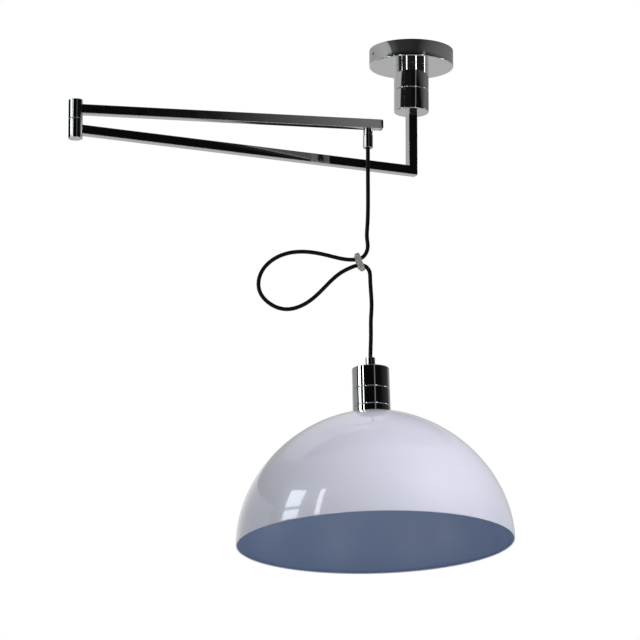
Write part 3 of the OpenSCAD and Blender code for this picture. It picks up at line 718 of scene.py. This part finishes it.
class LAMP_OT_arms(bpy.types.Operator):
    """Draws the square tubes of the post and both arms, and the upper arm's end cap"""

    bl_idname = "lamp.arms"
    bl_label = "Arms"

    def execute(self, context):
        s = sizes()
        half, post_top = span("post_tube")[:2]
        section = square_section(2 * half, s.tube_corner)
        elbow = joint_at("elbow_fold")
        corner = (0, 0, span("lower_arm_tube")[2] + half)
        mitre, socket = (1, 0, 1), 7.5
        post = bar(section, (0, 0, post_top), corner, (1, 0, 0), (0, 1, 0), mitre)
        ridden("post", [post], "post_tube")
        start = (elbow[0] + socket, 0, corner[2])
        lower = bar(section, start, corner, (0, 1, 0), (0, 0, 1), mitre)
        ridden("lower_arm_bar", [lower], "lower_arm_tube")

        turn, reach, cap, seam = upper_arm_turn(), 462, 3.6, 0.25
        origin = (elbow[0], elbow[1], span("upper_arm_tube")[2] + half)
        points, faces = bar(section, (socket, 0, 0), (reach - cap - seam, 0, 0), (0, 1, 0), (0, 0, 1))
        ridden("upper_arm_bar", [(placed(points, origin, turn), faces)], "upper_arm_tube")
        points, faces = self.tip(2 * half, s.tube_corner, reach, cap)
        ridden("arm_tip", [(placed(points, origin, turn), faces)], "arm_end_cap")
        return {"FINISHED"}

    def tip(self, side, corner, reach, cap):
        """The end cap and the plug behind it: P(s, u) = (x(s), outline(side - 2 d(s))), square outlines whose
        inset d(s) follows a small quarter circle at the seam and a quarter ellipse at the outer end."""
        dome_long, dome_deep, seam, plug_long, plug_inset = 3.2, 1.5, 0.35, 4, 0.6
        root = reach - cap
        quarter = np.linspace(0, math.pi / 2, 7)
        stations = [(root - plug_long, plug_inset), (root, plug_inset)]
        stations += [(root + seam * (1 - math.cos(a)), seam * (1 - math.sin(a))) for a in quarter]
        stations += [(reach - dome_long * (1 - math.sin(a)), dome_deep * (1 - math.cos(a))) for a in quarter]
        rings = []
        for along, inset in stations:
            outline = square_section(side - 2 * inset, corner)
            rings.append(np.column_stack([np.full(len(outline), along), outline]))
        return capped(rings)


class LAMP_OT_elbow(bpy.types.Operator):
    """Turns the elbow's two halves with their pressed caps"""

    bl_idname = "lamp.elbow"
    bl_label = "Elbow"

    def execute(self, context):
        s = sizes()
        centre = joint_at("elbow_fold") * [1, 1, 0]
        groove, pin_depth, pressed, running = 0.35, 6, 6.02, 6.05
        for name, node, cap, pin in (("elbow_upper_half", "elbow_upper", "elbow_top_cap", running),
                                     ("elbow_lower_half", "elbow_lower", "elbow_base_cap", pressed)):
            r, top, bottom = span(node)
            far, near, inward = (bottom, top, 1) if node == "elbow_lower" else (top, bottom, -1)
            cap_r, pin_end = span(cap)[0], near - inward * pin_depth
            section = [(0, far), (cap_r - groove / 2, far), (cap_r, far + inward * groove),
                       (cap_r + groove / 2, far), (r, far), (r, near), (pin, near), (pin, pin_end),
                       (0, pin_end)]
            radii = [0, 0.1, 0.05, 0.1, s.edge, s.edge, 0.2, 0, 0]
            lathed(name, section, radii, node, cap, place=lambda points: points + centre, loop=False)
        return {"FINISHED"}


# ---- gland ----


class LAMP_OT_gland(bpy.types.Operator):
    """Turns the gland's collar and its turning sleeve"""

    bl_idname = "lamp.gland"
    bl_label = "Gland"

    def execute(self, context):
        s = sizes()
        centre = joint_at("pendant_turn") * [1, 1, 0]
        edge = s.fine_edge
        r, top, bottom = span("gland_collar")
        section = [(STEM_BORE, bottom), (r, bottom), (r, top), (STEM_BORE, top)]
        lathed("gland_collar_ring", section, [edge / 2, edge, edge, edge / 2], "gland_collar",
               place=lambda points: points + centre)

        r, top, bottom = span("gland_sleeve")
        throat, chamber, ledge, bowl_r, bowl_depth = 5.05, 6.0, top - 4.6, 5.3, 2.5
        pivot = bottom + bowl_depth
        turn = np.linspace(math.asin(bowl_depth / bowl_r), 0, 6)
        bowl = np.column_stack([bowl_r * np.cos(turn), pivot - bowl_r * np.sin(turn)])
        outer = rounded([(throat, top), (r, top), (r, bottom), bowl[0]], [0.2, s.edge, s.edge, 0])
        section = np.vstack([outer, bowl[1:], [(chamber, pivot), (chamber, ledge), (throat, ledge)]])
        points, faces = turned(section)
        ridden("gland_sleeve_turning", [(points + centre, faces)], "gland_sleeve")
        return {"FINISHED"}


# ---- cup ----


class LAMP_OT_cup(bpy.types.Operator):
    """Turns the ferrule and the three rings of the cup over the shade"""

    bl_idname = "lamp.cup"
    bl_label = "Cup"

    def execute(self, context):
        s = sizes()
        r = s.cup_diameter / 2
        wall, sleeve_wall, step, roof, foot, steps = 1.6, 2.4, 0.2, 2, 3, 8

        bottom, lower_edge = -CAP_HEIGHT, min(s.lower_edge, wall - 0.35)
        section = [(STEM_BORE, 0), (r, 0), (r, bottom), (r - wall, bottom), (r - wall, -roof),
                   (STEM_BORE, -roof)]
        lathed("cup_cap_shell", section, [0.1, 1.4, lower_edge, 0.05, 0.3, 0.1], "cup_cap",
               place=on_cup, steps=steps)

        top, bottom, inner = RING_LEVEL, RING_LEVEL - RING_HEIGHT, r - sleeve_wall
        section = [(inner, bottom), (r + step, bottom), (r + step, top), (inner, top)]
        lathed("cup_ring_sleeve", section, [0.2, s.lower_edge, s.edge, 0.2], "cup_ring",
               place=on_cup, steps=steps)

        r += 2 * step
        top, bottom, inner = SEAT_RING_LEVEL, SHADE_LEVEL, r - wall
        section = [(inner, top), (r, top), (r, bottom), (NECK_BORE, bottom), (NECK_BORE, bottom + foot),
                   (inner, bottom + foot)]
        lathed("cup_seat_ring", section, [0.2, s.edge, s.fine_edge, 0.2, 0.2, 0.3], "shade_ring",
               place=on_cup)

        outer, cord_hole, high, floor = 7.25, 3.8, 16.3, 10.3
        section = [(TAIL_BORE, 0), (outer, 0), (outer, high), (cord_hole, high), (cord_hole, floor),
                   (TAIL_BORE, floor)]
        lathed("cord_ferrule", section, [0.1, 0.2, s.edge, s.fine_edge, 0.1, 0.1], "cup_ferrule",
               place=on_cup)
        return {"FINISHED"}


# ---- shade ----


def dome(radius, height, seat, power, steps=72):
    """A quarter of the curve (r / R)^p + (z / H)^p = 1, rim first: r = R cos(a)^(2/p), z = H sin(a)^(2/p),
    with a from 0 to where r reaches the flat seat."""
    last = math.acos((seat / radius) ** (power / 2))
    a = np.linspace(0, 1, steps) * last
    return np.column_stack([radius * np.cos(a) ** (2 / power), height * np.sin(a) ** (2 / power)])


class LAMP_OT_shade(bpy.types.Operator):
    """Spins the domed shade, white outside and blue-grey inside with painted shade, with a bead rolled on its rim
    """

    bl_idname = "lamp.shade"
    bl_label = "Shade"

    def execute(self, context):
        s = sizes()
        radius, height, wall, bead = s.shade_diameter / 2, s.shade_height, s.shade_wall, s.shade_bead
        seat, power, lining_start = 25.6, 1.9, 1.9
        outer = dome(radius, height, seat, power)
        inner = dome(radius - wall, height - wall, seat - wall / 2, power)
        outer = outer[outer[:, 1] > bead]
        inner = inner[inner[:, 1] > lining_start * bead][::-1]
        crown = outer[-1, 1]
        inner[0, 1] = crown - wall
        # The bead's roll, from inside the rim, under it and round to the outer skin
        turn = np.radians(np.linspace(128, 360, 15))
        roll = bead * np.column_stack([np.cos(turn), np.sin(turn)]) + [radius - bead, bead]
        flat = [(NECK_BORE, crown), (NECK_BORE, crown - wall)]
        profile = np.vstack([outer, flat, inner, roll])
        profile[:, 1] += SHADE_LEVEL - crown
        points, faces = turned(profile)
        rows = np.arange(len(profile))
        inside = (rows > len(outer)) & (rows < len(outer) + 2 + len(inner))
        choice = np.repeat(inside, s.sides)
        # The inside's faces take the blue-grey lining, whose darkness is painted shade
        ridden("shade_dome", [(on_cup(points), faces)], "shade",
               materials=[finish_of(gloss_lacquer), finish_of(lining_painted_shade)], choice=choice)
        return {"FINISHED"}


# ---- lampholder and bulb ----


class LAMP_OT_holder(bpy.types.Operator):
    """Turns the lampholder, its ribbed retaining ring and the opal bulb"""

    bl_idname = "lamp.holder"
    bl_label = "Lampholder and bulb"

    def execute(self, context):
        s = sizes()
        # Round the outside from the neck's top to the mouth, then up the inside, below the cup's top
        neck, skirt, flange, mouth_r = 17, 20, 24, 14
        section = [(STEM_BORE, -40), (neck, -40), (neck, -48), (skirt, -48), (skirt, -62.8), (flange, -62.8),
                   (flange, -65.8), (skirt, -65.8), (skirt, -92), (mouth_r, -92), (mouth_r, -58),
                   (TAIL_BORE, -58), (TAIL_BORE, -46), (STEM_BORE, -46)]
        radii = [0, 1.5, 0.3, 0.8, 0.2, 0.4, 0.4, 0.2, 1.2, 0.6, 0.4, 0.2, 0, 0]
        lathed("lampholder_shell", section, radii, "lampholder_body", place=on_cup)

        top = SHADE_LEVEL - s.shade_wall
        bore, lip, body, lip_low, low = 20.02, 25, 23, top - 3, top - 9
        section = [(bore, top), (lip, top), (lip, lip_low), (body, lip_low), (body, low), (bore, low)]
        ribs = (20, 0.35, top - 8.2, top - 0.4)
        lathed("shade_nut", section, [0.1, 0.4, 0.6, 0.3, 0.8, 0.2], "retaining_ring", place=on_cup,
               ribs=ribs)

        # A globe whose sides run on in a straight cone, as its tangent, to the neck
        globe, base, long, neck, neck_high = 30, -87, 80, 12.4, 6
        centre = base - long + globe
        drop = long - globe - neck_high
        last = math.pi - math.atan2(neck, drop) - math.acos(globe / math.hypot(neck, drop))
        a = np.linspace(0, last, 40)
        bowl = np.column_stack([globe * np.sin(a), centre - globe * np.cos(a)])
        share = np.linspace(0, 1, 8)[1:, None]
        cone = bowl[-1] + share * (np.array([neck, base - neck_high]) - bowl[-1])
        points, faces = turned(np.vstack([bowl, cone, [(neck, base), (0, base)]]))
        ridden("bulb_bowl", [(on_cup(points), faces)], "bulb_glass")
        return {"FINISHED"}


# ---- the parts that stay as they are ----


class LAMP_OT_hardware(bpy.types.Operator):
    """Gives each plate, screw, pin, washer and cable its finish"""

    bl_idname = "lamp.hardware"
    bl_label = "Hardware"

    def execute(self, context):
        for name, obj in frame["nodes"].items():
            material = node_finish(name)
            if not obj.material_slots:
                obj.data.materials.append(material)
            for slot in obj.material_slots:
                slot.material = material
        return {"FINISHED"}


# ---- stage ----

VIEW_AZIMUTH = math.radians(-23.87)
VIEW_ELEVATION = math.radians(-14.92)
VIEW_DISTANCE = 10.4
VIEW_AIM = Vector((-0.1634, -0.0280, -0.4461))
FOCAL_LENGTH = 393.75
FLOOR_COLOUR = "#E6E6E4"
# What gloss sees round about: (degrees of azimuth from the camera's side, grey)
WALLS = [(-180, 0.5), (-158, 0.36), (-138, 0.03), (-100, 0.004), (19.9, 0.004), (21.2, 0.3),
         (25, 0.3), (27, 0.004), (60, 0.006), (118, 0.06), (150, 0.45), (180, 0.5)]
GROUND = [(-180, 0.64), (-125, 0.6), (-85, 0.03), (85, 0.03), (125, 0.6), (180, 0.64)]
SKY = [(-180, 0.5), (-120, 0.36), (-70, 0.2), (0, 0.15), (90, 0.3), (180, 0.5)]
NEAR_BOARD = [(-180, 0.35), (-90, 0.5), (-58, 0.62), (-44.5, 0.55), (-42, 0.12), (-25, 0.05),
              (12, 0.03), (34, 0.13), (60, 0.2), (180, 0.35)]
THIN_LAMP = [(-180, 0), (24, 0), (27.5, 0.45), (31, 0), (180, 0)]
COOL, WHITE, LILAC = (0.86, 0.95, 1.0), (1, 1, 1), (0.96, 0.95, 1.0)
# Area lights: name, azimuth, elevation, distance, width, height, glow, colour, and whether gloss sees it
PANELS = [
    # A window of two panes and a narrow strip, on the left
    ("window_upper", -73, 25, 4, 1.08, 0.95, 5, COOL, True),
    ("window_lower", -73, 9, 4, 1.08, 0.95, 5, COOL, True),
    ("strip", -47, 17, 4, 0.3, 2.3, 5, WHITE, True),
    # Small lamps near the ground, which show as glints in the turned edges
    *((f"glint_{i}", way, -19, 4, 0.42, 1.7, 6, WHITE, True) for i, way in enumerate((-66, -30, 34, 101))),
    # A low grey wall behind on the left, level with the cup
    ("low_wall", -131, 6, 1.4, 2.27, 0.6, 0.42, WHITE, True),
    # The key light and a fill, for matt surfaces alone
    ("key", 52, 32, 4, 2.5, 2.5, 6.0, LILAC, False),
    ("fill", -30, 10, 4, 2.5, 2.5, 0.5, WHITE, False),
]


def toward(azimuth, elevation):
    """Unit vector from the lamp: azimuth in degrees from the camera's side, positive to its right."""
    a, e = math.radians(azimuth) + VIEW_AZIMUTH, math.radians(elevation)
    return Vector((math.sin(a) * math.cos(e), -math.cos(a) * math.cos(e), math.sin(e)))


def round_about(tree, vector, stops):
    """A grey that follows the azimuth of a vector from the camera's side: stops are (degrees, grey)."""
    parts = add(tree, "ShaderNodeSeparateXYZ", links={"Vector": vector}).outputs
    away = add(tree, "ShaderNodeMath", {1: -1}, {0: parts["Y"]}, operation="MULTIPLY").outputs[0]
    bearing = add(tree, "ShaderNodeMath", links={0: parts["X"], 1: away}, operation="ARCTAN2").outputs[0]
    turn = add(tree, "ShaderNodeMath", {1: -VIEW_AZIMUTH}, {0: bearing}, operation="ADD").outputs[0]
    whole = add(tree, "ShaderNodeMath", {1: math.pi, 2: -math.pi}, {0: turn}, operation="WRAP").outputs[0]
    share = add(tree, "ShaderNodeMapRange", {1: -math.pi, 2: math.pi}, {0: whole}).outputs[0]
    ramp = add(tree, "ShaderNodeValToRGB", links={"Fac": share})
    elements = ramp.color_ramp.elements
    while len(elements) < len(stops):
        elements.new(0.5)
    for element, (degrees, grey) in zip(elements, stops):
        element.position = (degrees + 180) / 360
    for element, (degrees, grey) in zip(elements, stops):
        element.color = (grey, grey, grey, 1)
    return ramp.outputs[0]


def soft_panel(name, azimuth, elevation, distance, wide, high, glow, tint, in_gloss):
    """A rectangular area light aimed at the lamp, bright enough to look glow times white where gloss sees it.
    One that gloss doesn't see lights matt surfaces."""
    data = bpy.data.lights.new(name, "AREA")
    data.shape = "RECTANGLE"
    data.size, data.size_y = wide, high
    data.energy = glow * wide * high * math.pi
    data.color = tint
    light = bpy.data.objects.new(name, data)
    away = toward(azimuth, elevation)
    light.location = VIEW_AIM + away * distance
    light.rotation_mode = "QUATERNION"
    light.rotation_quaternion = away.to_track_quat("Z", "Y")
    light.visible_camera = False
    light.visible_diffuse = not in_gloss
    light.visible_glossy = in_gloss
    bpy.context.scene.collection.objects.link(light)


def round_board(name, centre, radius, faces_up, material):
    """A flat round board, P(u, v) = centre + v (cos u, sin u), as rings about its middle, in the frame whose
    Y axis points away from the camera."""
    sides, rings = 96, 6
    u = np.arange(sides) * TAU / sides
    v = np.linspace(0, 1, rings + 1)[1:, None] * radius
    points = np.stack([v * np.cos(u), v * np.sin(u), np.zeros((rings, sides))], -1).reshape(-1, 3)
    points = placed(points + centre, (0, 0, 0), VIEW_AZIMUTH)
    faces = closed_grid(rings, sides, False).tolist() + [list(range(sides))[::-1]]
    mesh = bpy.data.meshes.new(name)
    mesh.from_pydata(points.tolist(), [], [f[::-1] for f in faces] if faces_up else faces)
    mesh.materials.append(material)
    board = bpy.data.objects.new(name, mesh)
    bpy.context.scene.collection.objects.link(board)
    return board


class LAMP_OT_stage(bpy.types.Operator):
    """Sets the camera, the pale floor, the studio's surroundings and its lights"""

    bl_idname = "lamp.stage"
    bl_label = "Stage"

    def execute(self, context):
        self.camera()
        self.floor()
        self.surroundings()
        for panel in PANELS:
            soft_panel(*panel)
        self.ceiling()
        bpy.context.scene.view_settings.view_transform = "Standard"
        return {"FINISHED"}

    def camera(self):
        """A long lens, low and to one side, aimed at the lamp's middle."""
        data = bpy.data.cameras.new("camera")
        data.lens, data.sensor_width = FOCAL_LENGTH, 36
        data.clip_end = 100
        camera = bpy.data.objects.new("camera", data)
        back = toward(0, math.degrees(VIEW_ELEVATION))
        camera.location = VIEW_AIM + back * VIEW_DISTANCE
        camera.rotation_mode = "QUATERNION"
        camera.rotation_quaternion = (-back).to_track_quat("-Z", "Y")
        bpy.context.scene.collection.objects.link(camera)
        bpy.context.scene.camera = camera

    def floor(self):
        """A round floor 2.4 m below the ceiling face."""
        matt = Finish("pale_matt_floor", linear(FLOOR_COLOUR), 0.0, 0.8)
        matt.mottled(matt.clouds(400, 2), 0.03)
        round_board("floor", (0, 0, -2.4), 3.0, True, matt.material)

    def surroundings(self):
        """White where it is seen straight, an even soft light on matt surfaces, and for gloss a dark studio
        under a pale roof and over a pale ground, blended across the horizon."""
        world = bpy.data.worlds.new("studio")
        bpy.context.scene.world = world
        world.use_nodes = True
        tree = world.node_tree
        tree.nodes.clear()
        direction = add(tree, "ShaderNodeTexCoord").outputs["Generated"]
        height = add(tree, "ShaderNodeSeparateXYZ", links={"Vector": direction}).outputs["Z"]
        blend = add(tree, "ShaderNodeMapRange", {1: -0.06, 2: 0.0}, {0: height}).outputs[0]
        high = add(tree, "ShaderNodeMapRange", {1: 0.3, 2: 0.62}, {0: height},
                   interpolation_type="SMOOTHSTEP").outputs[0]
        ground, walls, sky = (round_about(tree, direction, stops) for stops in (GROUND, WALLS, SKY))
        above = add(tree, "ShaderNodeMix", links={0: high, 6: walls, 7: sky}, data_type="RGBA").outputs[2]
        mirror = add(tree, "ShaderNodeMix", links={0: blend, 6: ground, 7: above},
                     data_type="RGBA").outputs[2]
        path = add(tree, "ShaderNodeLightPath").outputs
        matt = add(tree, "ShaderNodeMix", {6: (0.38, 0.39, 0.41, 1)}, {0: path["Is Glossy Ray"], 7: mirror},
                   data_type="RGBA").outputs[2]
        seen = add(tree, "ShaderNodeMix", {7: (1, 1, 1, 1)}, {0: path["Is Camera Ray"], 6: matt},
                   data_type="RGBA").outputs[2]
        background = add(tree, "ShaderNodeBackground", links={"Color": seen})
        add(tree, "ShaderNodeOutputWorld", links={"Surface": background.outputs[0]})

    def ceiling(self):
        """A glowing round board over the canopy, which shows only in gloss. Near the canopy its grey follows
        the azimuth, and further out it follows the distance toward the camera, on each side, with one thin
        lamp."""
        material = bpy.data.materials.new("pale_ceiling_board")
        material.use_nodes = True
        tree = material.node_tree
        tree.nodes.clear()
        coords = add(tree, "ShaderNodeTexCoord").outputs["Object"]
        toward_camera = (math.sin(VIEW_AZIMUTH), -math.cos(VIEW_AZIMUTH), 0)
        to_right = (math.cos(VIEW_AZIMUTH), math.sin(VIEW_AZIMUTH), 0)
        near, side = (add(tree, "ShaderNodeVectorMath", {1: way}, {0: coords},
                          operation="DOT_PRODUCT").outputs[1] for way in (toward_camera, to_right))
        fall = {1: 0.09, 2: 0.068, 3: 0.012, 4: 0.62}
        left = add(tree, "ShaderNodeMapRange", fall, {0: near}).outputs[0]
        fall = {1: 0.16, 2: -0.06, 3: 0.006, 4: 0.22}
        right = add(tree, "ShaderNodeMapRange", fall, {0: near}).outputs[0]
        share = add(tree, "ShaderNodeMapRange", {1: -0.03, 2: 0.03}, {0: side}).outputs[0]
        both = add(tree, "ShaderNodeMix", links={0: share, 2: left, 3: right}).outputs[0]
        thin = round_about(tree, coords, THIN_LAMP)
        far = add(tree, "ShaderNodeMath", links={0: both, 1: thin}, operation="ADD").outputs[0]
        reach = add(tree, "ShaderNodeVectorMath", links={0: coords}, operation="LENGTH").outputs[1]
        zone = add(tree, "ShaderNodeMapRange", {1: 0.13, 2: 0.15}, {0: reach}).outputs[0]
        close = round_about(tree, coords, NEAR_BOARD)
        grey = add(tree, "ShaderNodeMix", links={0: zone, 2: close, 3: far}).outputs[0]
        glow = add(tree, "ShaderNodeEmission", links={"Color": grey}).outputs[0]
        add(tree, "ShaderNodeOutputMaterial", links={"Surface": glow})
        board = round_board("ceiling_board", (-0.15, 0.2, 0.004), 0.6, False, material)
        board.visible_camera = board.visible_diffuse = board.visible_shadow = False


# ---- the panel ----

OPERATORS = (LAMP_OT_stage, LAMP_OT_cord, LAMP_OT_hardware, LAMP_OT_canopy, LAMP_OT_arms,
             LAMP_OT_elbow, LAMP_OT_gland, LAMP_OT_cup, LAMP_OT_shade, LAMP_OT_holder)


class LAMP_PT_panel(bpy.types.Panel):
    """The lamp's sizes, colours and pieces"""

    bl_label = "Pendant Lamp"
    bl_idname = "LAMP_PT_panel"
    bl_space_type = "VIEW_3D"
    bl_region_type = "UI"
    bl_category = "Pendant Lamp"

    def draw(self, context):
        for operator in OPERATORS:
            self.layout.operator(operator.bl_idname)
        for group in (context.scene.lamp_sizes, context.scene.lamp_colours):
            box = self.layout.box()
            for name in group.__annotations__:
                box.prop(group, name)


CLASSES = (LampSizes, LampColours, *OPERATORS, LAMP_PT_panel)


def register():
    for each in CLASSES:
        bpy.utils.register_class(each)
    bpy.types.Scene.lamp_sizes = PointerProperty(type=LampSizes)
    bpy.types.Scene.lamp_colours = PointerProperty(type=LampColours)


def unregister():
    del bpy.types.Scene.lamp_colours
    del bpy.types.Scene.lamp_sizes
    for each in reversed(CLASSES):
        bpy.utils.unregister_class(each)


def main():
    """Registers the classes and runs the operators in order."""
    register()
    for operator in OPERATORS:
        group, name = operator.bl_idname.split(".")
        getattr(getattr(bpy.ops, group), name)()


if __name__ == "__main__":
    main()
